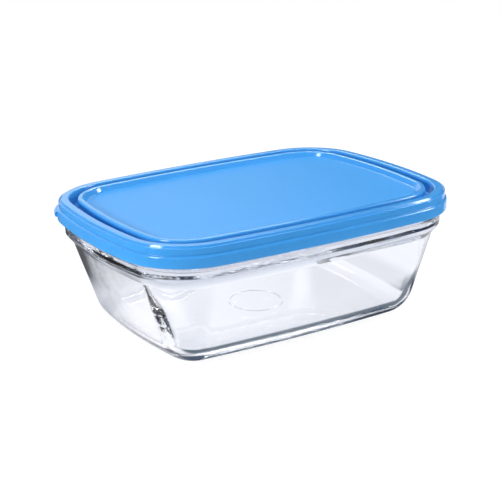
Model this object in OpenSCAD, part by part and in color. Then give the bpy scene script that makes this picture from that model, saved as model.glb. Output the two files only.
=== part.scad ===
// Rectangular glass storage box with a lift-off moulded lid.
// Origin at the middle of the base, +Z up, +X along the length.

/* [Outline] */
// Length over the skirt of the lid, at the middle of its bowed ends
lid_length = 202; // [170:1:260]
// Width over the skirt of the lid, at the middle of its bowed sides
lid_width = 153.4; // [135:0.2:200]
// Radius of the skirt's corners in plan
corner_radius = 39; // [37:0.5:46]
// Radius in plan of the two long sides, which bow outwards
long_side_radius = 880; // [600:10:1600]
// Radius in plan of the two short sides, which bow outwards
short_side_radius = 318; // [260:2:500]

/* [Dish] */
// Height of the glass, from the base to the top of its lip
dish_height = 71.8; // [60:0.2:90]
// Thickness of the glass floor
floor_thickness = 7.5; // [4:0.1:9]
// Level thickness of the glass wall, just under the collar
wall_thickness = 4.6; // [3.5:0.1:6]
// Slope of the outside of the wall from upright
outer_draft = 17.4; // [12:0.1:19]
// Slope of the inside of the wall from upright
inner_draft = 19.2; // [14:0.1:20]
// Round between the outside of the wall and the base
base_radius = 19; // [6:0.5:20]
// Round between the inside of the wall and the floor
floor_radius = 8; // [2:0.5:12]
// Thickness of the glass lip at its top
lip_thickness = 2.9; // [2.4:0.1:4]
// Height of the lip that the lid closes over
lip_height = 6.6; // [4:0.1:7.5]
// Depth of the mouth, from the top of the lip down to the ledge inside
mouth_depth = 13; // [11:0.1:16]
// How far the mouth narrows on each side from the lip down to the ledge
mouth_taper = 1.85; // [1:0.05:2.4]
// Height of the ledge, the slope from the mouth to the inside of the wall
ledge_height = 4.8; // [3.5:0.1:6]
// Round of the ledge's two edges
ledge_radius = 2.8; // [1:0.1:3.2]
// How far the collar's face lies inside the lip's
collar_inset = 0.8; // [0.5:0.1:2]
// Height of the collar below the lip
collar_height = 12; // [10:0.1:15]
// How far the collar narrows on each side from its top down to its foot
collar_taper = 0.35; // [0.2:0.05:0.8]
// How far the collar's top stands out past the top of the wall
collar_overhang = 4.1; // [3:0.1:4.8]
// Height of the slope under the collar
collar_slope = 3.6; // [2.5:0.1:5]
// Round of the collar's lower edge
collar_radius = 3; // [1:0.1:3.5]
// Round of the lip's two top edges
lip_radius = 0.9; // [0.4:0.1:1.1]

/* [Floor mark] */
// Outer radius of the plain raised ring in the middle of the floor
mark_radius = 15.4; // [10:0.1:22]
// Width of the raised ring
mark_width = 0.8; // [0.5:0.1:2]
// Height of the raised ring above the floor
mark_height = 0.4; // [0.2:0.1:1]

/* [Lid] */
// Thickness of the lid's walls
lid_wall = 1.3; // [1:0.1:1.7]
// Thickness of the lid's middle panel
panel_thickness = 1.4; // [1:0.1:2]
// Height of the skirt, from its lower edge to the top of the crown
skirt_height = 11.3; // [9.5:0.1:13]
// Height of the skirt's lower tier
lower_tier_height = 5.9; // [5:0.1:7]
// How far the upper tier lies inside the lower tier
tier_step = 1.05; // [0.6:0.05:1.6]
// Height of the slope between the two tiers
tier_slope = 1.3; // [0.9:0.05:1.8]
// Level width of the ledge between the upper tier and the crown
crown_ledge = 1.45; // [1:0.05:1.8]
// Height of the crown above that ledge
crown_height = 0.7; // [0.4:0.05:1.1]
// Level width of the crown's outer slope
crown_slope = 0.4; // [0.2:0.05:0.8]
// Depth of the groove inside the rim, from the top of the crown
groove_depth = 6.8; // [4.5:0.1:7.5]
// Width of the groove at its mouth
groove_width = 4.8; // [4:0.1:6]
// Width of the ridge between the groove and the panel
ridge_width = 2.9; // [2.6:0.1:4.5]
// How far the groove's inner wall leans from upright over its depth
ridge_lean = 0.3; // [0:0.05:0.6]
// Drop from the top of the crown to the panel
panel_drop = 2.8; // [2:0.1:4]
// Level width of the slope from the ridge down to the panel
cove_width = 1.8; // [1:0.1:3]
// Round of the skirt's and the ridge's edges
edge_radius = 0.9; // [0.3:0.1:1.2]
// Round where the cove meets the panel
cove_radius = 2.4; // [1:0.1:3]
// Height of the snap bead inside the skirt
bead_height = 0.9; // [0.5:0.1:1.2]
// Height of the bead's lower edge above the skirt's
bead_rise = 1.0; // [0.6:0.1:1.5]

/* [Lift lug] */
// How far the lug stands out from the skirt's corner
lug_reach = 1.5; // [1:0.1:3]
// Height of the lug
lug_height = 3; // [2:0.1:4.5]
// Drop from the top of the lower tier to the top of the lug
lug_drop = 0.5; // [0:0.1:1]
// Width of the lug along the corner, in degrees
lug_angle = 20; // [8:1:40]

/* [Fits] */
// Level gap on both sides of the glass lip inside the lid
lip_gap = 0.3; // [0.15:0.05:0.5]
// Gap between the top of the lip and the lid
seat_gap = 0.25; // [0.1:0.05:0.5]

/* [Hidden] */
glass_colour = [0.86, 0.89, 0.93, 0.45];
lid_colour = [0.30, 0.61, 0.93];
side_steps = 6;
corner_steps = 7;
ring_steps = 64;
join = 0.5;

// Plan outline. A side arc and a corner arc meet at a tangent. An inset of d keeps every centre.
long_centre = [0, lid_width / 2 - long_side_radius];
short_centre = [lid_length / 2 - short_side_radius, 0];
corner = meeting(long_centre, long_side_radius - corner_radius,
                 short_centre, short_side_radius - corner_radius);
long_from = atan2(corner.y - long_centre.y, corner.x);
short_to = atan2(corner.y, corner.x - short_centre.x);

// Levels
lid_top = dish_height + seat_gap + lid_wall;
skirt_bottom = lid_top - skirt_height;
tier_top = skirt_bottom + lower_tier_height;
upper_tier_z = tier_top + tier_slope;
shoulder_z = lid_top - crown_height;
groove_z = lid_top - groove_depth;
panel_z = lid_top - panel_drop;
rim_under = lid_top - lid_wall;
lip_foot = dish_height - lip_height;
collar_top = lip_foot - collar_inset / 2;
collar_foot = lip_foot - collar_height;
wall_top = collar_foot - collar_slope;
mouth_foot = dish_height - mouth_depth;
ledge_foot = mouth_foot - ledge_height;

// Insets from the skirt's outline
lip_out = tier_step + lid_wall + lip_gap;
lip_in = lip_out + lip_thickness;
collar_out = lip_out + collar_inset;
wall_out = collar_out + collar_overhang;
crown_out = tier_step + crown_ledge;
ridge_out = mouth(dish_height) + lip_gap + lid_wall + groove_width;
ridge_in = ridge_out + ridge_width;
cove_foot = ridge_in + cove_width;
bead_in = lip_out - lip_gap;

// Inset of the outside of the wall at a height below the collar
function wall_outside(z) = wall_out + tan(outer_draft) * (wall_top - z);

// Inset of the inside of the wall at a height below the collar
function wall_inside(z) = wall_out + wall_thickness + tan(inner_draft) * (wall_top - z);

// Inset of the inside of the mouth at a height
function mouth(z) = lip_in + mouth_taper * (dish_height - z) / mouth_depth;

// Inset at which a flat starts, past a round of the section
function flat_from(inset, radius) = min(inset + radius, corner_radius - join);

// Point at r1 from c1 and at r2 from c2, on the right of the way from c1 to c2
function meeting(c1, r1, c2, r2) =
    let (span = norm(c2 - c1),
         along = (r1 * r1 - r2 * r2 + span * span) / (2 * span),
         across = sqrt(r1 * r1 - along * along),
         dir = (c2 - c1) / span)
    c1 + along * dir + across * [dir.y, -dir.x];

// Steps of a round
function round_steps(radius) = radius < 3 ? 2 : 6;

// How much of the edge from p to q a round at p may take: most of it where q stays sharp
function room(p, q) = norm([q[0] - p[0], q[1] - p[1]]) * (q[2] > 0 ? 0.48 : 0.95);

// Points of the round at one bend of a section. A round is limited by the edges beside it.
function rounded_bend(before, bend, after) =
    let (at = [bend[0], bend[1]],
         u = [before[0] - at.x, before[1] - at.y] / norm([before[0] - at.x, before[1] - at.y]),
         v = [after[0] - at.x, after[1] - at.y] / norm([after[0] - at.x, after[1] - at.y]),
         half = acos(u * v) / 2,
         reach = min(bend[2] / tan(half), room(bend, before), room(bend, after)),
         r = reach * tan(half),
         middle = at + (u + v) / norm(u + v) * r / sin(half),
         first = at + reach * u - middle,
         turn = u.x * v.y > u.y * v.x ? 2 * half - 180 : 180 - 2 * half,
         steps = round_steps(r))
    [for (i = [0:steps])
        let (a = turn * i / steps)
        middle + [first.x * cos(a) - first.y * sin(a), first.x * sin(a) + first.y * cos(a)]];

// Open section whose bends [inset, height, radius] are rounded, or sharp where the radius is 0
function rounded(bends) =
    [for (i = [0:len(bends) - 1])
        each bends[i][2] > 0
            ? rounded_bend(bends[i - 1], bends[i], bends[i + 1])
            : [[bends[i][0], bends[i][1]]]];

// Stations [centre, radius, angle] all round the plan outline
function arc_stations(centre, radius, from, to, steps) =
    [for (i = [0:steps - 1]) [centre, radius, from + (to - from) * i / steps]];

stations = concat(
    arc_stations(short_centre, short_side_radius, -short_to, short_to, side_steps),
    arc_stations(corner, corner_radius, short_to, long_from, corner_steps),
    arc_stations(long_centre, long_side_radius, long_from, 180 - long_from, side_steps),
    arc_stations([-corner.x, corner.y], corner_radius, 180 - long_from, 180 - short_to, corner_steps),
    arc_stations(-short_centre, short_side_radius, 180 - short_to, 180 + short_to, side_steps),
    arc_stations(-corner, corner_radius, 180 + short_to, 180 + long_from, corner_steps),
    arc_stations(-long_centre, long_side_radius, 180 + long_from, 360 - long_from, side_steps),
    arc_stations([corner.x, -corner.y], corner_radius, 360 - long_from, 360 - short_to, corner_steps));

// Place of a section's point [inset, height] at a station
function placed(station, point) =
    let (flat = station[0] + (station[1] - point[0]) * [cos(station[2]), sin(station[2])])
    [flat.x, flat.y, point[1]];

// Solid whose open section [inset, height] runs all round the plan outline, from its flat
// underside, outwards and over, to its flat top
module carried_round(section) {
    n = len(stations);
    rings = len(section);
    polyhedron(
        points = [for (point = section, station = stations) placed(station, point)],
        faces = concat(
            [[for (k = [0:n - 1]) k]],
            [for (j = [0:rings - 2], k = [0:n - 1])
                [j * n + k, (j + 1) * n + k, (j + 1) * n + (k + 1) % n, j * n + (k + 1) % n]],
            [[for (k = [n - 1:-1:0]) (rings - 1) * n + k]]),
        convexity = 8);
}

// Pressed glass dish: sloping walls, a collar and a lip for the lid
module glass_dish() {
    section = rounded([
        [flat_from(wall_outside(0), base_radius), 0, 0],
        [wall_outside(0), 0, base_radius],
        [wall_out, wall_top, 0],
        [collar_out + collar_taper, collar_foot, collar_radius],
        [collar_out, collar_top, 0],
        [lip_out, lip_foot, 0],
        [lip_out, dish_height, lip_radius],
        [lip_in, dish_height, lip_radius],
        [mouth(mouth_foot), mouth_foot, ledge_radius],
        [wall_inside(ledge_foot), ledge_foot, ledge_radius],
        [wall_inside(floor_thickness), floor_thickness, floor_radius],
        [flat_from(wall_inside(floor_thickness), floor_radius), floor_thickness, 0]
    ]);
    color(glass_colour) {
        carried_round(section);
        translate([0, 0, floor_thickness - join])
            difference() {
                cylinder(r = mark_radius, h = mark_height + join, $fn = ring_steps);
                translate([0, 0, -join])
                    cylinder(r = mark_radius - mark_width, h = mark_height + 3 * join, $fn = ring_steps);
            }
    }
}

// One-piece moulded lid: two-tier skirt, crown, groove, ridge and a sunk panel
module lid() {
    plug_foot = groove_z - lid_wall;
    section = rounded([
        [flat_from(cove_foot, cove_radius), panel_z - panel_thickness, 0],
        [cove_foot - lid_wall / 2, panel_z - panel_thickness, 0],
        [ridge_in - lid_wall / 2, rim_under, 0],
        [ridge_out + lid_wall, rim_under, 0],
        [ridge_out + lid_wall - ridge_lean, plug_foot, 0],
        [mouth(plug_foot) + lip_gap, plug_foot, edge_radius],
        [mouth(rim_under) + lip_gap, rim_under, 0],
        [tier_step + lid_wall, rim_under, 0],
        [tier_step + lid_wall, upper_tier_z, 0],
        [lid_wall, tier_top, 0],
        [lid_wall, skirt_bottom + bead_rise + 2 * bead_height, 0],
        [bead_in, skirt_bottom + bead_rise + bead_height, 0],
        [bead_in, skirt_bottom + bead_rise, 0],
        [lid_wall, skirt_bottom, 0],
        [0, skirt_bottom, edge_radius],
        [0, tier_top, edge_radius],
        [tier_step, upper_tier_z, 0],
        [tier_step, shoulder_z, edge_radius],
        [crown_out, shoulder_z, 0],
        [crown_out + crown_slope, lid_top, 0],
        [mouth(dish_height) + lip_gap + lid_wall, lid_top, edge_radius],
        [mouth(groove_z) + lip_gap + lid_wall, groove_z, 0],
        [ridge_out - ridge_lean, groove_z, 0],
        [ridge_out, lid_top, edge_radius],
        [ridge_in, lid_top, edge_radius],
        [cove_foot, panel_z, cove_radius],
        [flat_from(cove_foot, cove_radius), panel_z, 0]
    ]);
    lug_top = tier_top - lug_drop;
    lug_section = [
        [lid_wall / 2, lug_top - lug_height],
        [-lug_reach, lug_top - lug_height],
        [-lug_reach, lug_top],
        [lid_wall / 2, lug_top]
    ];
    lug_middle = (short_to + long_from) / 2;
    color(lid_colour) {
        carried_round(section);
        mirror([1, 0])
            translate(corner)
                rotate_extrude(angle = lug_angle, start = lug_middle - lug_angle / 2, $fn = ring_steps)
                    polygon([for (p = lug_section) [corner_radius - p[0], p[1]]]);
    }
}

glass_dish();
lid();
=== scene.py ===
"""Looks of a rectangular glass storage box with a lift-off lid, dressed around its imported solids."""

import logging
import math
from dataclasses import dataclass, field
from enum import Enum
from typing import Iterable, NamedTuple

import bpy
from mathutils import Matrix, Vector


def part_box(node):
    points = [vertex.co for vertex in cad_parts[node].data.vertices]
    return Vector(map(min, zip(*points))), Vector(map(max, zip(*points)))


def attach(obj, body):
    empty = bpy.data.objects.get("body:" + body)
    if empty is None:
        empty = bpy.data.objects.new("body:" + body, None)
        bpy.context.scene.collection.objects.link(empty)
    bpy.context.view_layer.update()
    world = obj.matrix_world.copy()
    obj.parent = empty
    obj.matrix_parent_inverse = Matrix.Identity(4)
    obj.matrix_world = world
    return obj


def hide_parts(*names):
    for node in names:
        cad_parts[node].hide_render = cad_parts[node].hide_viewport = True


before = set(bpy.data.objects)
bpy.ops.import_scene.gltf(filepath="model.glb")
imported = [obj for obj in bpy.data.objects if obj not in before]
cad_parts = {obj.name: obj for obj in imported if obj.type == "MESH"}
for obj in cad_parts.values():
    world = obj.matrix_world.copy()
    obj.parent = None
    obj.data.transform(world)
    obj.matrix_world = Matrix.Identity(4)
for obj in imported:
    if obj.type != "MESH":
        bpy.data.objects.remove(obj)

LOG = logging.getLogger("glass_box")
MM = 0.001
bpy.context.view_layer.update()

Socket = bpy.types.NodeSocket
Colour = tuple[float, float, float, float]
Span = tuple[float, float]
Way = tuple[float, float, float]

WHITE: Colour = (1.0, 1.0, 1.0, 1.0)
BLUE: Colour = (0.050, 0.300, 0.71, 1.0)
BLUE_SHADE: Colour = (0.046, 0.288, 0.68, 1.0)


class Body(Enum):
    """The two rigid bodies that the pieces ride on."""

    DISH = "dish"
    LID = "lid"


class Zone(Enum):
    """The differently finished areas of the lid."""

    SATIN = 0
    GRAINED = 1


class Bend(NamedTuple):
    """One bend of a wall's section: inset from the skirt's outline, height and round, in millimetres."""

    inset: float
    height: float
    radius: float = 0.0


@dataclass(frozen=True)
class Section:
    """An open wall section, from the flat underside, outwards and over, to the flat top.

    Attributes:
        bends: The section's bends in order.
        arc_step: Largest turn of one step of a round, in degrees.
        least_steps: Fewest steps of a round.
        support: Distance from a round's end to the next point on the straight beside it, in millimetres.
        least_supports: A straight shorter than this many supports gets no points of its own.
        long_step: Length of a step on a straight, about, in millimetres.
        shared_room: Share of an edge that a round may take where the other end has a round too.
        own_room: Share of an edge that a round may take where the other end is sharp.
    """

    bends: tuple[Bend, ...]
    arc_step: float
    least_steps: int = 3
    support: float = 0.35
    least_supports: int = 3
    long_step: float = 12.0
    shared_room: float = 0.48
    own_room: float = 0.95

    def points(self) -> list[Vector]:
        """Work out the rounded section.

        Returns:
            Points (inset, height) in millimetres.
        """
        corners = [self._rounded(i) for i in range(len(self.bends))]
        out: list[Vector] = []
        for i, arc in enumerate(corners):
            out.extend(arc)
            if i + 1 < len(corners):
                out.extend(self._straight(arc[-1], corners[i + 1][0]))
        return out

    def _rounded(self, i: int) -> list[Vector]:
        """Points of the round at one bend.

        Args:
            i: Place of the bend in the section.

        Returns:
            The round's points, or the bend itself where it is sharp.
        """
        bend = self.bends[i]
        at = Vector((bend.inset, bend.height))
        if bend.radius <= 0:
            return [at]
        before, after = self.bends[i - 1], self.bends[i + 1]
        to_before = Vector(before[:2]) - at
        to_after = Vector(after[:2]) - at
        u, v = to_before.normalized(), to_after.normalized()
        half = u.angle(v) / 2
        wanted = bend.radius / math.tan(half)
        reach = min(wanted, self._room(to_before, before), self._room(to_after, after))
        radius = reach * math.tan(half)
        middle = at + (u + v).normalized() * radius / math.sin(half)
        first = at + u * reach - middle
        turn = math.pi - 2 * half
        if u.x * v.y > u.y * v.x:
            turn = -turn
        steps = max(self.least_steps, math.ceil(abs(math.degrees(turn)) / self.arc_step))
        return [middle + Matrix.Rotation(turn * k / steps, 2) @ first for k in range(steps + 1)]

    def _room(self, edge: Vector, neighbour: Bend) -> float:
        """Length of an edge that a round may take: most of it where the neighbour is sharp."""
        return edge.length * (self.shared_room if neighbour.radius > 0 else self.own_room)

    def _straight(self, start: Vector, end: Vector) -> list[Vector]:
        """Points between two rounds that keep the shading of the straight flat.

        Args:
            start: Last point of the round before.
            end: First point of the round after.

        Returns:
            Points strictly between the two.
        """
        run = end - start
        if run.length < self.least_supports * self.support:
            return []
        edge = self.support / run.length
        steps = max(1, round(run.length / self.long_step))
        shares = [edge + (1 - 2 * edge) * k / steps for k in range(steps + 1)]
        return [start + run * share for share in shares]


@dataclass(frozen=True)
class Plan:
    """The skirt's outline in plan: two long and two short bowed sides and four corners, in millimetres.

    Attributes:
        length: Length over the bowed ends.
        width: Width over the bowed sides.
        corner: Radius of the corners.
        long_side: Radius of the long sides.
        short_side: Radius of the short sides.
        end_steps: Steps along half a short side.
        corner_steps: Steps round a corner.
        side_steps: Steps along half a long side.
    """

    length: float
    width: float
    corner: float = 39.0
    long_side: float = 880.0
    short_side: float = 318.0
    end_steps: int = 8
    corner_steps: int = 22
    side_steps: int = 10

    @property
    def steps(self) -> int:
        """Steps all round the outline."""
        return 4 * (self.end_steps + self.corner_steps + self.side_steps)

    @property
    def long_centre(self) -> Vector:
        """Centre of the long side at the back."""
        return Vector((0.0, self.width / 2 - self.long_side))

    @property
    def short_centre(self) -> Vector:
        """Centre of the short side at the right."""
        return Vector((self.length / 2 - self.short_side, 0.0))

    @property
    def corner_centre(self) -> Vector:
        """Centre of the corner at the back right, where the offset side arcs cross.

        Returns:
            The centre, in millimetres.
        """
        near, far = self.long_centre, self.short_centre
        near_reach, far_reach = self.long_side - self.corner, self.short_side - self.corner
        way = far - near
        span = way.length
        way.normalize()
        along = (near_reach**2 - far_reach**2 + span**2) / (2 * span)
        across = math.sqrt(near_reach**2 - along**2)
        return near + way * along + Vector((way.y, -way.x)) * across

    @property
    def end_turn(self) -> float:
        """Angle from the middle of a short side to its corner."""
        reach = self.corner_centre - self.short_centre
        return math.atan2(reach.y, reach.x)

    @property
    def side_from(self) -> float:
        """Direction at which a corner runs into its long side."""
        reach = self.corner_centre - self.long_centre
        return math.atan2(reach.y, reach.x)


def ease(value: float, span: Span) -> float:
    """Rise softly from 0 at the start of a span to 1 at its end."""
    share = min(1.0, max(0.0, (value - span[0]) / (span[1] - span[0])))
    return share * share * (3 - 2 * share)


class Modeller:
    """Edit-mode steps that the pieces share.

    Attributes:
        LEVEL: Largest difference between two heights that count as one, in millimetres.
        WELD: Largest distance at which the points of neighbouring turns are merged, in millimetres.
        SEAM: Largest distance at which the points of two quarters are merged, in millimetres.
        SHARP: Smallest angle at an edge that is shaded sharp, in degrees.
    """

    LEVEL: float = 0.01
    WELD: float = 0.002
    SEAM: float = 0.01
    SHARP: float = 35.0

    @staticmethod
    def start(name: str) -> bpy.types.Object:
        """Add a plane, melt it to one point and stay in edit mode.

        Args:
            name: Name of the new piece.

        Returns:
            The piece, with one vertex at the origin.
        """
        bpy.ops.object.select_all(action="DESELECT")
        bpy.ops.mesh.primitive_plane_add(size=MM, location=(0, 0, 0))
        piece = bpy.context.active_object
        piece.name = name
        piece.data.name = name
        bpy.ops.object.mode_set(mode="EDIT")
        bpy.ops.mesh.select_mode(type="VERT")
        bpy.ops.mesh.select_all(action="SELECT")
        bpy.ops.mesh.merge(type="CENTER")
        return piece

    @staticmethod
    def draw(points: Iterable[Vector]) -> None:
        """Move the one vertex to the first point and extrude it through the others.

        Args:
            points: Places in metres.
        """
        here = Vector((0, 0, 0))
        for count, point in enumerate(points):
            step = point - here
            if count == 0:
                bpy.ops.transform.translate(value=step)
            else:
                bpy.ops.mesh.extrude_region_move(TRANSFORM_OT_translate={"value": step})
            here = point

    @staticmethod
    def select_rim(piece: bpy.types.Object, height: float) -> None:
        """Select the open edge loops at one height.

        Args:
            piece: The piece in edit mode.
            height: Height of the loops in millimetres.
        """
        bpy.ops.mesh.select_mode(type="VERT")
        bpy.ops.mesh.select_all(action="DESELECT")
        bpy.ops.mesh.select_non_manifold(extend=False, use_multi_face=False,
                                         use_non_contiguous=False, use_verts=False)
        bpy.ops.object.mode_set(mode="OBJECT")
        for vertex in piece.data.vertices:
            vertex.select = vertex.select and abs(vertex.co.z / MM - height) < Modeller.LEVEL
        for part in (*piece.data.edges, *piece.data.polygons):
            part.select = False
        bpy.ops.object.mode_set(mode="EDIT")

    @staticmethod
    def apply(piece: bpy.types.Object, modifier: bpy.types.Modifier) -> None:
        """Apply one modifier in object mode."""
        bpy.context.view_layer.objects.active = piece
        bpy.ops.object.modifier_apply(modifier=modifier.name)

    @staticmethod
    def carry_round(piece: bpy.types.Object, plan: Plan, section: Section) -> None:
        """Draw a section at the middle of the right end and spin it round the whole outline.

        Args:
            piece: The piece in edit mode with its one vertex selected.
            plan: The outline.
            section: The wall's section.
        """
        reach = plan.length / 2
        places = [Vector((reach - p.x, 0.0, p.y)) * MM for p in section.points()]
        Modeller.draw(places)
        bpy.ops.mesh.select_all(action="SELECT")
        turns = (
            (plan.short_centre, plan.end_turn, plan.end_steps),
            (plan.corner_centre, plan.side_from - plan.end_turn, plan.corner_steps),
            (plan.long_centre, math.pi / 2 - plan.side_from, plan.side_steps),
        )
        for centre, turn, steps in turns:
            bpy.ops.mesh.spin(steps=steps, angle=-turn, center=centre.to_3d() * MM, axis=(0, 0, 1))
        bpy.ops.mesh.select_all(action="SELECT")
        bpy.ops.mesh.remove_doubles(threshold=Modeller.WELD * MM)
        bpy.ops.object.mode_set(mode="OBJECT")
        mirror = piece.modifiers.new("four_quarters", "MIRROR")
        mirror.use_axis = (True, True, False)
        mirror.merge_threshold = Modeller.SEAM * MM
        Modeller.apply(piece, mirror)
        bpy.ops.object.mode_set(mode="EDIT")

    @staticmethod
    def close_flat(piece: bpy.types.Object, height: float) -> None:
        """Fill the open loop at one height.

        Args:
            piece: The piece in edit mode.
            height: Height of the loop in millimetres.
        """
        Modeller.select_rim(piece, height)
        bpy.ops.mesh.edge_face_add()

    @staticmethod
    def finish(piece: bpy.types.Object) -> None:
        """Point all faces outwards, leave edit mode and shade smooth, with real edges kept sharp.

        Args:
            piece: The piece in edit mode.
        """
        bpy.ops.mesh.select_all(action="SELECT")
        bpy.ops.mesh.normals_make_consistent(inside=False)
        bpy.ops.object.mode_set(mode="OBJECT")
        bpy.ops.object.shade_smooth_by_angle(angle=math.radians(Modeller.SHARP))


class NodeTree:
    """Short-hand for laying out shader nodes."""

    def __init__(self, owner: bpy.types.Material | bpy.types.World) -> None:
        """Start with nothing but the output.

        Args:
            owner: New material or world that the nodes belong to.
        """
        owner.use_nodes = True
        self.owner = owner
        self.tree = owner.node_tree
        self.tree.nodes.clear()
        kind = "World" if isinstance(owner, bpy.types.World) else "Material"
        self.output = self.add(f"ShaderNodeOutput{kind}")

    def add(self, kind: str, **values: Socket | float | tuple | str) -> bpy.types.Node:
        """Add a node and set its properties and inputs.

        Args:
            kind: The node's type.
            **values: Property names, or input names with spaces as underscores. A socket is linked.

        Returns:
            The new node.
        """
        node = self.tree.nodes.new(kind)
        for key, value in values.items():
            socket = node.inputs.get(key.replace("_", " "))
            if socket is None:
                setattr(node, key, value)
            else:
                self.feed(value, socket)
        return node

    def feed(self, value: Socket | float | tuple, socket: Socket) -> None:
        """Link a socket to an input, or set the input to a constant.

        Args:
            value: Output socket or constant.
            socket: The input.
        """
        if isinstance(value, Socket):
            self.tree.links.new(value, socket)
        else:
            socket.default_value = value

    def calc(self, operation: str, *values: Socket | float) -> Socket:
        """Do a sum.

        Args:
            operation: Name of the math operation.
            *values: Its operands.

        Returns:
            Socket of the result.
        """
        node = self.add("ShaderNodeMath", operation=operation)
        for value, socket in zip(values, node.inputs):
            self.feed(value, socket)
        return node.outputs[0]

    def along(self, vector: Socket, way: Way) -> Socket:
        """Part of a vector that lies along a direction.

        Args:
            vector: Socket of the vector.
            way: The direction.

        Returns:
            Socket of the result.
        """
        node = self.add("ShaderNodeVectorMath", operation="DOT_PRODUCT")
        self.feed(vector, node.inputs[0])
        self.feed(way, node.inputs[1])
        return node.outputs["Value"]

    def fade(self, value: Socket, span: Span, to: Span = (0.0, 1.0)) -> Socket:
        """Turn a span of values softly into another one.

        Args:
            value: Socket of the value.
            span: Where the change starts and ends.
            to: Result at the start and at the end.

        Returns:
            Socket of the result.
        """
        node = self.add("ShaderNodeMapRange", interpolation_type="SMOOTHSTEP", Value=value,
                        From_Min=span[0], From_Max=span[1], To_Min=to[0], To_Max=to[1])
        return node.outputs["Result"]

    def blend(self, share: Socket, first: Socket | Colour, second: Socket | Colour) -> Socket:
        """Mix two colours.

        Args:
            share: Socket of the second colour's share.
            first: The first colour.
            second: The second colour.

        Returns:
            Socket of the mixed colour.
        """
        node = self.add("ShaderNodeMix", data_type="RGBA")
        self.feed(share, node.inputs["Factor"])
        colours = [socket for socket in node.inputs if socket.type == "RGBA"]
        self.feed(first, colours[0])
        self.feed(second, colours[1])
        return next(socket for socket in node.outputs if socket.type == "RGBA")

    def grey(self, value: Socket) -> Socket:
        """Make a grey of a value.

        Args:
            value: Socket of the brightness.

        Returns:
            Socket of the colour.
        """
        return self.add("ShaderNodeCombineColor", Red=value, Green=value, Blue=value).outputs["Color"]

    def surface(self, shader: bpy.types.Node) -> None:
        """Send a shader to the output."""
        self.feed(shader.outputs[0], self.output.inputs["Surface"])


@dataclass(frozen=True)
class GlassFinish:
    """Clear pressed glass with a faint mould ripple, a painted shade in the collar under the lid and a
    painted dark outline where the eye grazes it.

    Attributes:
        tint: Colour of the glass in the walls, seen straight on.
        collar_shade: Colour of the glass in the collar, seen straight on, darkened as a painted shade for
            the lid's shadow on it.
        edge: Painted dark outline: colour of the glass where the eye only grazes it, standing in for the
            dark room that the glass would show there.
        graze: Slant at which that painted outline sets in and is full, 0 straight on and 1 edge on.
        ior: Index of refraction.
        ripple_scale: Ripples per metre.
        ripple_detail: Finer ripples on the ripple, in octaves.
        ripple_rough: Strength of the finer ripples.
        ripple: Height of the ripple, in metres.
        ripple_strength: Share of the ripple that shows.
        wavy: How many times stronger the ripple is in the collar and in the corners.
        collar: Heights at which the collar's painted shade and stronger ripple start and are full, in
            metres.
        corner: Products of the two plan coordinates between which the corners' stronger ripple sets in.
        haze_span: Heights of the ripple, from 0 to 1, over which the haze sets in.
        haze: Roughness range of the surface.
    """

    tint: Colour = (0.985, 0.99, 1.0, 1.0)
    # Painted shade: grey laid into the collar's glass for the shadow that the lid casts on it.
    collar_shade: Colour = (0.70, 0.73, 0.79, 1.0)
    # Painted dark outline on the glass where the eye grazes it, in place of the dark room it would show
    # there.
    edge: Colour = (0.04, 0.06, 0.085, 1.0)
    graze: Span = (0.66, 0.85)
    ior: float = 1.52
    ripple_scale: float = 130.0
    ripple_detail: float = 2.0
    ripple_rough: float = 0.4
    ripple: float = 0.00004
    ripple_strength: float = 0.35
    wavy: float = 4.0
    collar: Span = (0.049, 0.055)
    corner: Span = (0.0026, 0.0040)
    haze_span: Span = (0.35, 0.75)
    haze: Span = (0.0, 0.012)

    def material(self) -> bpy.types.Material:
        """Build the material.

        Returns:
            The finished material.
        """
        net = NodeTree(bpy.data.materials.new("pressed_glass"))
        place = net.add("ShaderNodeTexCoord").outputs["Object"]
        ripple = net.add("ShaderNodeTexNoise", Vector=place, Scale=self.ripple_scale,
                         Detail=self.ripple_detail, Roughness=self.ripple_rough).outputs["Fac"]
        split = net.add("ShaderNodeSeparateXYZ", Vector=place).outputs
        corner = net.calc("ABSOLUTE", net.calc("MULTIPLY", split["X"], split["Y"]))
        waves = net.calc("MAXIMUM", net.fade(split["Z"], self.collar, (1.0, self.wavy)),
                         net.fade(corner, self.corner, (1.0, self.wavy)))
        bump = net.add("ShaderNodeBump", Strength=self.ripple_strength, Distance=self.ripple,
                       Height=net.calc("MULTIPLY", ripple, waves))
        slant = net.add("ShaderNodeLayerWeight").outputs["Facing"]
        # The collar's glass is blended to a painted shade grey, for the lid's shadow on it.
        body = net.blend(net.fade(split["Z"], self.collar), self.tint, self.collar_shade)
        # Painted dark outline: the glass's colour darkens where the eye only grazes it.
        colour = net.blend(net.fade(slant, self.graze), body, self.edge)
        haze = net.fade(ripple, self.haze_span, self.haze)
        net.surface(net.add("ShaderNodeBsdfPrincipled", Base_Color=colour, IOR=self.ior,
                            Transmission_Weight=1.0, Roughness=haze, Normal=bump.outputs["Normal"]))
        return net.owner


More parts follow.
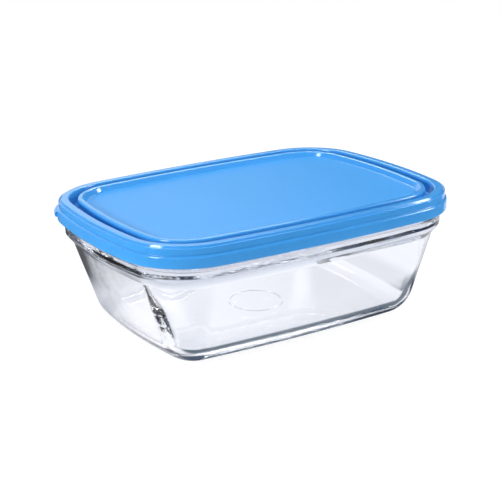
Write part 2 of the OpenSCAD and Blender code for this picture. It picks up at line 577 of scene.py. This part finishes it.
@dataclass(frozen=True)
class LidFinish:
    """Moulded polyethylene, satin or fine-grained.

    Attributes:
        name: Name of the material.
        colour: The plastic's colour.
        shade: The colour in the hollows of the grain and in faint flow marks.
        roughness: Range of the roughness over the surface.
        grain_scale: Grains per metre.
        grain: Height of the grain, in metres.
        gloss: Level of the surface's own reflection, 0.5 for a plain smooth plastic.
        grain_strength: Share of the grain that shows.
        grain_rough: Strength of the finer grains on the grain.
        grain_span: Heights of the grain, from 0 to 1, over which the roughness changes.
        flow_scale: Flow marks per metre.
        flow_rough: Strength of the finer flow marks.
        detail: Finer grains and flow marks, in octaves.
        tone_span: Sums of flow and grain over which the shade gives way to the colour.
        ior: Index of refraction.
        inner_glow: How much light the plastic carries under its skin.
        glow_colour: How far red, green and blue light travel there, as shares of the depth.
        glow_depth: How far light travels there, in metres.
    """

    name: str
    colour: Colour
    shade: Colour
    roughness: Span
    grain_scale: float
    grain: float
    gloss: float = 0.5
    grain_strength: float = 0.5
    grain_rough: float = 0.6
    grain_span: Span = (0.3, 0.7)
    flow_scale: float = 22.0
    flow_rough: float = 0.5
    detail: float = 3.0
    tone_span: Span = (0.7, 1.2)
    ior: float = 1.5
    inner_glow: float = 0.02
    glow_colour: Way = (0.4, 0.7, 1.0)
    glow_depth: float = 0.002

    def material(self) -> bpy.types.Material:
        """Build the material.

        Returns:
            The finished material.
        """
        net = NodeTree(bpy.data.materials.new(self.name))
        place = net.add("ShaderNodeTexCoord").outputs["Object"]
        grain = net.add("ShaderNodeTexNoise", Vector=place, Scale=self.grain_scale,
                        Detail=self.detail, Roughness=self.grain_rough).outputs["Fac"]
        flow = net.add("ShaderNodeTexNoise", Vector=place, Scale=self.flow_scale,
                       Detail=self.detail, Roughness=self.flow_rough).outputs["Fac"]
        bump = net.add("ShaderNodeBump", Strength=self.grain_strength, Distance=self.grain, Height=grain)
        tone = net.fade(net.calc("ADD", flow, grain), self.tone_span)
        net.surface(net.add("ShaderNodeBsdfPrincipled", IOR=self.ior, Specular_IOR_Level=self.gloss,
                            Base_Color=net.blend(tone, self.shade, self.colour),
                            Roughness=net.fade(grain, self.grain_span, self.roughness),
                            Normal=bump.outputs["Normal"], Subsurface_Weight=self.inner_glow,
                            Subsurface_Radius=self.glow_colour, Subsurface_Scale=self.glow_depth))
        return net.owner


@dataclass
class GlassDish:
    """The pressed glass dish. Insets are from the lid's skirt, heights from the base, in millimetres.

    Attributes:
        plan: Outline that the insets count from.
        height: Height of the lip's top.
        base_inset: Inset of the corner between base and wall, before its round.
        base_radius: Round between base and wall.
        base_flat: Distance from that corner to the loop that bounds the flat of the base.
        wall_top: Where the outside of the wall meets the slope under the collar.
        collar_foot: Lower edge of the collar's face.
        collar_top: Upper edge of the collar's face.
        lip_foot: Lower edge of the lip's face.
        lip_out: Inset of the lip's face.
        lip_in: Inset of the lip's top at the mouth.
        lip_radius: Round of the lip's two top edges.
        mouth_foot: Where the mouth meets the ledge.
        ledge_foot: Where the ledge meets the inside of the wall.
        floor: Where the inside of the wall meets the floor.
        mark_radius: Outer radius of the raised ring on the floor.
        mark_width: Width of the ring.
        mark_height: Height of the ring above the floor.
        corner_press: How far the inside of the corners is pressed outwards.
        corner_top: Heights at which the pressing starts and is full, from above.
        corner_foot: Heights at which the pressing starts and is full, from below.
        arc_step: Largest turn of one step of a round, in degrees.
        finish: The glass.
    """

    plan: Plan
    height: float
    base_inset: float = 23.09
    base_radius: float = 19.0
    base_flat: float = 15.2
    wall_top: Bend = Bend(7.75, 49.0, 0.5)
    collar_foot: Bend = Bend(3.8, 54.05, 1.0)
    collar_top: Bend = Bend(3.45, 64.8, 0.3)
    lip_foot: Bend = Bend(2.65, 65.2, 0.3)
    lip_out: float = 2.65
    lip_in: float = 5.55
    lip_radius: float = 0.9
    mouth_foot: Bend = Bend(7.4, 58.8, 2.8)
    ledge_foot: Bend = Bend(10.62, 54.0, 2.8)
    floor: Bend = Bend(26.81, 7.5, 8.0)
    mark_radius: float = 15.4
    mark_width: float = 0.8
    mark_height: float = 0.4
    corner_press: float = 1.5
    corner_top: Span = (53.0, 40.0)
    corner_foot: Span = (9.0, 24.0)
    arc_step: float = 5.0
    finish: GlassFinish = field(default_factory=GlassFinish)

    def section(self) -> Section:
        """Lay out the dish's section, from the base, over the lip, to the floor.

        Returns:
            The section.
        """
        return Section((
            Bend(self.base_inset + self.base_flat, 0.0),
            Bend(self.base_inset, 0.0, self.base_radius),
            self.wall_top,
            self.collar_foot,
            self.collar_top,
            self.lip_foot,
            Bend(self.lip_out, self.height, self.lip_radius),
            Bend(self.lip_in, self.height, self.lip_radius),
            self.mouth_foot,
            self.ledge_foot,
            self.floor,
            Bend(self.floor.inset + self.floor.radius, self.floor.height),
        ), self.arc_step)

    def build(self) -> bpy.types.Object:
        """Model the dish.

        Returns:
            The dish, riding on its body in place of its CAD node.
        """
        piece = Modeller.start("pressed_dish")
        Modeller.carry_round(piece, self.plan, self.section())
        Modeller.close_flat(piece, 0.0)
        self._floor_with_mark(piece)
        Modeller.finish(piece)
        self._sharpen(piece)
        piece.data.materials.append(self.finish.material())
        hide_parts("glass_dish")
        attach(piece, Body.DISH.value)
        return piece

    def _sharpen(self, piece: bpy.types.Object) -> None:
        """Press the inside of the four corners outwards, so that it is sharper than the outside.

        Args:
            piece: The dish in object mode.
        """
        group = piece.vertex_groups.new(name="inner_corners")
        for vertex in piece.data.vertices:
            share = self._corner_share(vertex)
            if share > 0:
                group.add([vertex.index], share, "REPLACE")
        press = piece.modifiers.new("sharp_corners", "DISPLACE")
        press.vertex_group = group.name
        press.mid_level = 0.0
        press.strength = -self.corner_press * MM
        Modeller.apply(piece, press)
        piece.vertex_groups.clear()

    def _corner_share(self, vertex: bpy.types.MeshVertex) -> float:
        """How much a point of the dish belongs to the inside of a corner.

        Args:
            vertex: The point.

        Returns:
            1 in the middle of an inner corner, 0 on the sides, the outside, the floor and the mouth.
        """
        x, y, z = vertex.co / MM
        if vertex.normal.x * x + vertex.normal.y * y > 0:
            return 0.0
        start, end = self.plan.end_turn, self.plan.side_from
        reach = Vector((abs(x), abs(y))) - self.plan.corner_centre
        turn = (math.atan2(reach.y, reach.x) - start) / (end - start)
        if not 0 < turn < 1:
            return 0.0
        return math.sin(math.pi * turn) ** 2 * ease(z, self.corner_top) * ease(z, self.corner_foot)

    def _floor_with_mark(self, piece: bpy.types.Object) -> None:
        """Bridge the floor to a circle, raise the circle to a ring and fill its middle.

        Args:
            piece: The dish in edit mode.
        """
        level = self.floor.height
        rise = (0, 0, self.mark_height * MM)
        inner = (self.mark_radius - self.mark_width) / self.mark_radius
        bpy.ops.mesh.select_all(action="DESELECT")
        bpy.ops.mesh.primitive_circle_add(vertices=self.plan.steps, radius=self.mark_radius * MM,
                                          location=(0, 0, level * MM))
        Modeller.select_rim(piece, level)
        bpy.ops.mesh.bridge_edge_loops()
        Modeller.select_rim(piece, level)
        bpy.ops.mesh.extrude_edges_move(TRANSFORM_OT_translate={"value": rise})
        bpy.ops.mesh.extrude_edges_move()
        bpy.ops.transform.resize(value=(inner, inner, 1), center_override=(0, 0, level * MM))
        bpy.ops.mesh.extrude_edges_move(TRANSFORM_OT_translate={"value": [-part for part in rise]})
        bpy.ops.mesh.edge_face_add()


@dataclass
class Lid:
    """The moulded lid. Insets are from its skirt, heights from the base of the dish, in millimetres.

    Attributes:
        plan: Outline that the insets count from.
        top: Height of the crown's and the ridge's top.
        skirt_bottom: Height of the skirt's lower edge.
        panel_drop: Depth of the panel below the top.
        panel_thickness: Thickness of the panel.
        wall: Thickness of the other walls.
        tier_height: Height of the skirt's lower tier.
        tier_step: How far the upper tier lies inside the lower one.
        tier_slope: Height of the slope between the tiers.
        crown_step: Foot of the step at the crown's outer edge, its height counted down from the top.
        crown_shoulder: Depth below the top at which the upper tier ends.
        crown_edge: Inset of the crown's outer edge.
        rim_in: Inset of the crown's inner edge.
        groove_depth: Depth of the groove below the top.
        groove: Insets of the groove's floor, outside and inside.
        ridge: Insets of the ridge's top, outside and inside.
        cove_foot: Inset of the panel's edge, before its round.
        cove_radius: Round between ridge and panel.
        lip_side: Inset of the skirt's inside, beside the lip of the dish and at the bead.
        bead_rise: Height of the bead's foot above the skirt's lower edge.
        bead_height: Height of the bead, and of the slope above it.
        crease: Inset of the crease between the tiers.
        soft: Small round, on edges that only lose their sharpness.
        crest: Round of the ridge's top edges.
        round: Plain round.
        shoulder: Round of the lower tier's top edge.
        lug_reach: How far the lug stands out from the skirt.
        lug_height: Height of the lug.
        lug_drop: How far the lug's top lies below the lower tier's.
        lug_angle: Length of the lug round the corner, in degrees.
        lug_steps: Steps along the lug.
        arc_step: Largest turn of one step of a round, in degrees.
        panel_level: Largest height difference at which a face belongs to the panel's top.
        panel_facing: Smallest upward part of such a face's direction.
        satin: Finish of the rim, the skirt and the underside.
        grained: Finish of the panel's top.
    """

    plan: Plan
    top: float
    skirt_bottom: float
    panel_drop: float = 2.8
    panel_thickness: float = 1.4
    wall: float = 1.3
    tier_height: float = 5.9
    tier_step: float = 1.05
    tier_slope: float = 1.3
    crown_step: Bend = Bend(2.3, 1.35, 0.3)
    crown_shoulder: float = 0.7
    crown_edge: float = 2.9
    rim_in: float = 7.15
    groove_depth: float = 6.8
    groove: Span = (7.97, 11.65)
    ridge: Span = (11.95, 14.85)
    cove_foot: float = 16.65
    cove_radius: float = 0.8
    lip_side: float = 2.35
    bead_rise: float = 1.0
    bead_height: float = 0.9
    crease: float = 1.4
    soft: float = 0.4
    crest: float = 1.2
    round: float = 0.9
    shoulder: float = 1.2
    lug_reach: float = 1.5
    lug_height: float = 3.0
    lug_drop: float = 0.5
    lug_angle: float = 20.0
    lug_steps: int = 10
    arc_step: float = 12.0
    panel_level: float = 0.05
    panel_facing: float = 0.9
    satin: LidFinish = LidFinish("satin_blue", BLUE, BLUE_SHADE, roughness=(0.08, 0.13),
                                 grain_scale=900.0, grain=0.000001)
    grained: LidFinish = LidFinish("grained_blue", BLUE, BLUE_SHADE, roughness=(0.26, 0.32),
                                   grain_scale=1800.0, grain=0.000004, gloss=0.06)

    @property
    def panel(self) -> float:
        """Height of the panel's top."""
        return self.top - self.panel_drop

    def section(self) -> Section:
        """Lay out the lid's section, from the panel's underside, round the skirt and over, to its top.

        Returns:
            The section.
        """
        under = self.top - self.wall
        panel_under = self.panel - self.panel_thickness
        groove = self.top - self.groove_depth
        plug = groove - self.wall
        bottom = self.skirt_bottom
        tier = bottom + self.tier_height
        bead = bottom + self.bead_rise
        flat = self.cove_foot + self.cove_radius
        return Section((
            Bend(flat, panel_under),
            Bend(self.cove_foot - self.wall / 2, panel_under, self.round),
            Bend(self.ridge[1] - self.wall / 2, under, self.soft),
            Bend(self.ridge[0] + self.wall, under, self.soft),
            Bend(self.groove[1] + self.wall, plug, self.round),
            Bend(self.groove[0] - self.wall, plug, self.round),
            Bend(self.rim_in - self.wall, under, self.soft),
            Bend(self.lip_side, under, self.soft),
            Bend(self.lip_side, tier + self.tier_slope, self.soft),
            Bend(self.wall, tier, self.soft),
            Bend(self.wall, bead + 2 * self.bead_height, self.soft),
            Bend(self.lip_side, bead + self.bead_height, self.soft),
            Bend(self.lip_side, bead, self.soft),
            Bend(self.wall, bottom, self.soft),
            Bend(0.0, bottom, self.round),
            Bend(0.0, tier, self.shoulder),
            Bend(self.crease, tier + self.tier_slope / 2, self.round),
            Bend(self.tier_step, tier + self.tier_slope, self.soft),
            Bend(self.tier_step, self.top - self.crown_shoulder, self.round),
            Bend(self.crown_step.inset, self.top - self.crown_step.height, self.crown_step.radius),
            Bend(self.crown_edge, self.top, self.soft),
            Bend(self.rim_in, self.top, self.round),
            Bend(self.groove[0], groove, self.round),
            Bend(self.groove[1], groove, self.round),
            Bend(self.ridge[0], self.top, self.crest),
            Bend(self.ridge[1], self.top, self.crest),
            Bend(self.cove_foot, self.panel, self.cove_radius),
            Bend(flat, self.panel),
        ), self.arc_step)

    def build(self) -> bpy.types.Object:
        """Model the lid.

        Returns:
            The lid, riding on its body in place of its CAD node.
        """
        piece = Modeller.start("moulded_lid")
        Modeller.carry_round(piece, self.plan, self.section())
        Modeller.close_flat(piece, self.panel - self.panel_thickness)
        Modeller.close_flat(piece, self.panel)
        Modeller.finish(piece)
        piece.data.materials.append(self.satin.material())
        piece.data.materials.append(self.grained.material())
        self._dress(piece)
        self._lug(piece)
        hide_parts("lid")
        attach(piece, Body.LID.value)
        return piece

    def _lug(self, lid: bpy.types.Object) -> None:
        """Model the lift lug on the corner at the back left and join it to the lid.

        Args:
            lid: The lid in object mode.
        """
        lug = Modeller.start("lift_lug")
        top = self.skirt_bottom + self.tier_height - self.lug_drop
        low, out, root = top - self.lug_height, -self.lug_reach, self.wall / 2
        bends = (Bend(root, low), Bend(out, low, self.round), Bend(out, top, self.round), Bend(root, top))
        outline = Section(bends, self.arc_step).points()
        centre, reach = self.plan.corner_centre, self.plan.corner
        centre = Vector((-centre.x, centre.y, 0.0))
        Modeller.draw([(centre + Vector((p.x - reach, 0.0, p.y))) * MM for p in outline])
        bpy.ops.mesh.select_all(action="SELECT")
        bpy.ops.mesh.edge_face_add()
        half = math.radians(self.lug_angle) / 2
        middle = (self.plan.end_turn + self.plan.side_from) / 2
        bpy.ops.transform.rotate(value=middle - half, orient_axis="Z", center_override=centre * MM)
        bpy.ops.mesh.spin(steps=self.lug_steps, angle=-2 * half, center=centre * MM, axis=(0, 0, 1))
        bpy.ops.mesh.select_all(action="DESELECT")
        bpy.ops.mesh.select_non_manifold(extend=False)
        bpy.ops.mesh.edge_face_add()
        Modeller.finish(lug)
        lug.data.materials.append(lid.data.materials[Zone.SATIN.value])
        bpy.ops.object.select_all(action="DESELECT")
        lug.select_set(True)
        lid.select_set(True)
        bpy.context.view_layer.objects.active = lid
        bpy.ops.object.join()

    def _dress(self, piece: bpy.types.Object) -> None:
        """Give the panel's top its grained finish.

        Args:
            piece: The lid in object mode.
        """
        for face in piece.data.polygons:
            level = abs(face.center.z / MM - self.panel) < self.panel_level
            top = level and face.normal.z > self.panel_facing
            face.material_index = Zone.GRAINED.value if top else Zone.SATIN.value


@dataclass(frozen=True)
class Shot:
    """The camera, as fitted to the photograph: angles in degrees, distances in millimetres.

    Attributes:
        azimuth: Direction from the front.
        elevation: Height above the horizon.
        roll: Turn about the line of sight.
        aside: Sideways offset of the aim from the middle of the box.
        above: Upward offset of the aim, in the picture's plane.
        distance: Distance from the aim, measured from the level of the lid's rim.
        focal: Focal length in picture widths.
        rim: Height of the level that the offsets count from.
        sensor: Width of the sensor.
        near: Distance before which the camera sees nothing.
    """

    azimuth: float = -30.743
    elevation: float = 18.069
    roll: float = -1.769
    aside: float = 0.789
    above: float = 32.816
    distance: float = 743.93
    focal: float = 2.67212
    rim: float = 73.07
    sensor: float = 36.0
    near: float = 10.0

    def build(self) -> bpy.types.Object:
        """Make the camera.

        Returns:
            The camera, set as the scene's own.
        """
        az, el, roll = (math.radians(a) for a in (self.azimuth, self.elevation, self.roll))
        back = Vector((math.sin(az) * math.cos(el), -math.cos(az) * math.cos(el), math.sin(el)))
        right = Vector((math.cos(az), math.sin(az), 0.0))
        up = back.cross(right)
        turned = right * math.cos(roll) + up * math.sin(roll)
        up = up * math.cos(roll) - right * math.sin(roll)
        right = turned
        data = bpy.data.cameras.new("shot")
        data.sensor_width = self.sensor
        data.lens = self.sensor * self.focal
        data.clip_start = self.near * MM
        camera = bpy.data.objects.new("shot", data)
        bpy.context.scene.collection.objects.link(camera)
        place = back * self.distance - right * self.aside - up * self.above + Vector((0, 0, self.rim))
        turn = Matrix((right, up, back)).transposed().to_4x4()
        camera.matrix_world = Matrix.Translation(place * MM) @ turn
        bpy.context.scene.camera = camera
        return camera


class Lit(Enum):
    """What a lamp shows in."""

    MATTE = "matte"
    GLOSS = "gloss"


class Lamp(NamedTuple):
    """A soft lamp aimed at the box: place and sides in metres, power in watts."""

    name: str
    lit: Lit
    place: Way
    wide: float
    tall: float
    power: float


@dataclass(frozen=True)
class Studio:
    """A white ground to the eye; to the glass and the gloss, a white strip behind the box in a dark room.

    Attributes:
        strip: Azimuth of the strip, which runs away from the camera, in degrees.
        floor_size: Side of the floor, in metres.
        floor_gap: How far the floor lies below the base, in metres.
        floor_paint: Share of its light that the floor scatters back onto the box.
        floor_tone: Colour of the lit strip of floor.
        foot: Half length and half width of the flat that the box stands on, in metres.
        foot_tone: Colour of the floor in the shade round that flat.
        foot_rise: Distances from that flat at which the shade sets in and is full, in metres.
        foot_shade: Distances from that flat at which the shade starts and ends to fade, in metres.
        foot_depth: Share of the shade at the box's front and at its back.
        foot_side: Places along the box's depth between which the share changes, in metres.
        strip_edge: Distances from the strip's middle between which the floor darkens, in metres.
        strip_shift: How far the strip's middle lies to the right, in metres.
        strip_spread: Distance behind the box from which the strip gets wider, and how fast it does.
        front_edge: Places along the strip before and past which the floor is dark and lit, in metres.
        wall_edge: Sideways parts of a direction between which the room darkens to the right.
        wall_tone: Brightness of the room before and past that edge.
        far_edge: Sideways parts of a direction between which the room darkens to the left.
        back_edge: Backward parts of a direction between which the room darkens to the camera.
        dark: Brightness of the floor, and of the room to the left and to the camera, where it is dark.
        fill: Brightness of the room as a light.
        shadow: Share of the floor's colour that takes the object's shadow.
        aim: Height of the point that the lamps aim at, in metres.
        bounces: How often light may bend inside the glass.
        lamps: The lamps.
    """

    strip: float
    floor_size: float = 6.0
    floor_gap: float = 0.0002
    floor_paint: float = 0.8
    floor_tone: Colour = (1.035, 1.05, 1.11, 1.0)
    foot: Span = (0.088, 0.038)
    foot_tone: Colour = (0.09, 0.125, 0.17, 1.0)
    foot_rise: Span = (0.0, 0.006)
    foot_shade: Span = (0.016, 0.030)
    foot_depth: Span = (0.95, 0.2)
    foot_side: Span = (-0.03, 0.0)
    strip_edge: Span = (0.165, 0.185)
    strip_shift: float = 0.06
    strip_spread: Span = (0.1, 0.4)
    front_edge: Span = (-0.15, -0.11)
    wall_edge: Span = (-0.14, 0.12)
    wall_tone: Span = (1.12, 0.12)
    far_edge: Span = (-0.75, -0.4)
    back_edge: Span = (-0.2, 0.25)
    dark: float = 0.15
    fill: float = 0.256
    shadow: float = 0.14
    aim: float = 0.05
    bounces: int = 32
    lamps: tuple[Lamp, ...] = (
        Lamp("left_box", Lit.MATTE, (-0.95, -0.05, 0.36), 0.40, 0.20, 7.5),
        Lamp("front_box", Lit.MATTE, (0.85, -0.75, 0.70), 0.80, 0.80, 10.5),
        Lamp("top_box", Lit.MATTE, (0.0, 0.10, 1.20), 1.00, 1.00, 10.0),
        Lamp("left_shine", Lit.GLOSS, (-0.93, -0.11, 0.56), 0.28, 0.50, 9.0),
        Lamp("right_shine", Lit.GLOSS, (0.79, -0.45, 0.49), 0.40, 0.30, 8.0),
        Lamp("back_shine", Lit.GLOSS, (0.45, 0.77, 0.70), 0.35, 0.20, 2.8),
        Lamp("left_glint", Lit.GLOSS, (0.68, -0.28, 0.62), 0.16, 0.12, 1.2),
        Lamp("right_glint", Lit.GLOSS, (-0.60, -0.04, 0.80), 0.16, 0.12, 1.0),
    )

    @property
    def across(self) -> Way:
        """Direction across the strip, to the camera's right."""
        return (math.cos(math.radians(self.strip)), math.sin(math.radians(self.strip)), 0.0)

    @property
    def away(self) -> Way:
        """Direction along the strip, away from the camera."""
        return (-math.sin(math.radians(self.strip)), math.cos(math.radians(self.strip)), 0.0)

    def build(self) -> None:
        """Set up the floor, the world and the lamps."""
        bpy.context.scene.view_settings.view_transform = "Standard"
        paths = bpy.context.scene.cycles
        paths.max_bounces = paths.transmission_bounces = paths.glossy_bounces = self.bounces
        self._floor()
        self._world()
        for lamp in self.lamps:
            self._lamp(lamp)

    @staticmethod
    def _rays(net: NodeTree) -> tuple[Socket, Socket]:
        """Tell the rays apart.

        Args:
            net: The node tree.

        Returns:
            Sockets that are 1 for the eye's own rays, and for rays through glass or off gloss.
        """
        path = net.add("ShaderNodeLightPath")
        bent = net.calc("MAXIMUM", path.outputs["Is Glossy Ray"], path.outputs["Is Transmission Ray"])
        return path.outputs["Is Camera Ray"], bent

    def _floor(self) -> None:
        """Make the floor: white with a faint shadow to the eye, a strip to the glass and the gloss."""
        bpy.ops.object.select_all(action="DESELECT")
        bpy.ops.mesh.primitive_plane_add(size=self.floor_size, location=(0, 0, -self.floor_gap))
        floor = bpy.context.active_object
        floor.name = "floor"
        net = NodeTree(bpy.data.materials.new("white_floor"))
        eye, bent = self._rays(net)
        place = net.add("ShaderNodeTexCoord").outputs["Object"]
        start, spread = self.strip_spread
        depth = net.along(place, self.away)
        behind = net.calc("MAXIMUM", net.calc("SUBTRACT", depth, start), 0.0)
        middle = net.calc("SUBTRACT", net.along(place, self.across), self.strip_shift)
        aside = net.calc("SUBTRACT", net.calc("ABSOLUTE", middle), net.calc("MULTIPLY", behind, spread))
        strip = net.calc("MULTIPLY", net.fade(aside, self.strip_edge, (1.0, self.dark)),
                         net.fade(depth, self.front_edge, (self.dark, 1.0)))
        tone = net.blend(self._shade(net, place), self.floor_tone, self.foot_tone)
        straight = net.calc("SUBTRACT", 1.0, bent)
        scatter = net.fade(eye, (0.0, 1.0), (self.floor_paint, self.shadow))
        matte = net.add("ShaderNodeBsdfDiffuse", Color=net.grey(net.calc("MULTIPLY", straight, scatter)))
        white = net.calc("MULTIPLY", eye, 1.0 - self.shadow / 2)
        glow = net.calc("ADD", white, net.calc("MULTIPLY", bent, strip))
        shine = net.add("ShaderNodeEmission", Color=net.blend(bent, WHITE, tone), Strength=glow)
        both = net.add("ShaderNodeAddShader")
        net.feed(matte.outputs[0], both.inputs[0])
        net.feed(shine.outputs[0], both.inputs[1])
        net.surface(both)
        floor.data.materials.append(net.owner)

    def _shade(self, net: NodeTree, place: Socket) -> Socket:
        """Shade on the floor under the rounded foot, where little light gets in.

        Args:
            net: The floor's node tree.
            place: Socket of the place on the floor.

        Returns:
            Socket that is 0 under the flat base and far from the box, and higher between.
        """
        split = net.add("ShaderNodeSeparateXYZ", Vector=place).outputs
        squares = []
        for axis, half in zip("XY", self.foot):
            past = net.calc("MAXIMUM", net.calc("SUBTRACT", net.calc("ABSOLUTE", split[axis]), half), 0.0)
            squares.append(net.calc("MULTIPLY", past, past))
        gap = net.calc("SQRT", net.calc("ADD", *squares))
        rise = net.fade(gap, self.foot_rise)
        fall = net.fade(gap, self.foot_shade, (1.0, 0.0))
        depth = net.fade(split["Y"], self.foot_side, self.foot_depth)
        return net.calc("MULTIPLY", depth, net.calc("MULTIPLY", rise, fall))

    def _world(self) -> None:
        """White to the eye, soft as light, and bright only behind the box to the glass and the gloss."""
        world = bpy.data.worlds.new("white_room")
        bpy.context.scene.world = world
        net = NodeTree(world)
        eye, bent = self._rays(net)
        way = net.add("ShaderNodeTexCoord").outputs["Generated"]
        across = net.along(way, self.across)
        aside = net.calc("MULTIPLY", net.fade(across, self.wall_edge, self.wall_tone),
                         net.fade(across, self.far_edge, (self.dark, 1.0)))
        back = net.fade(net.along(way, self.away), self.back_edge, (self.dark, 1.0))
        room = net.calc("MULTIPLY", bent, net.calc("MULTIPLY", aside, back))
        light = net.calc("MULTIPLY", net.calc("SUBTRACT", 1.0, net.calc("MAXIMUM", eye, bent)), self.fill)
        total = net.calc("ADD", eye, net.calc("ADD", room, light))
        net.surface(net.add("ShaderNodeBackground", Color=WHITE, Strength=total))

    def _lamp(self, lamp: Lamp) -> None:
        """Hang one lamp.

        Args:
            lamp: What to hang and where.
        """
        data = bpy.data.lights.new(lamp.name, "AREA")
        data.shape = "RECTANGLE"
        data.size, data.size_y = lamp.wide, lamp.tall
        data.energy = lamp.power
        piece = bpy.data.objects.new(lamp.name, data)
        piece.visible_diffuse = lamp.lit is Lit.MATTE
        piece.visible_glossy = piece.visible_transmission = lamp.lit is Lit.GLOSS
        bpy.context.scene.collection.objects.link(piece)
        way = Vector((0, 0, self.aim)) - Vector(lamp.place)
        turn = way.to_track_quat("-Z", "Y").to_matrix().to_4x4()
        piece.matrix_world = Matrix.Translation(lamp.place) @ turn


def main() -> None:
    """Build the pieces around the frame and report each one."""
    logging.basicConfig(level=logging.INFO, format="%(message)s")
    lid_low, lid_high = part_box("lid")
    dish_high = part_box("glass_dish")[1]
    size = (lid_high - lid_low) / MM
    plan = Plan(size.x, size.y)
    dish = GlassDish(plan, dish_high.z / MM).build()
    LOG.info("%s: %d faces", dish.name, len(dish.data.polygons))
    lid = Lid(plan, lid_high.z / MM, lid_low.z / MM).build()
    LOG.info("%s: %d faces", lid.name, len(lid.data.polygons))
    shot = Shot()
    shot.build()
    Studio(shot.azimuth).build()


if __name__ == "__main__":
    main()
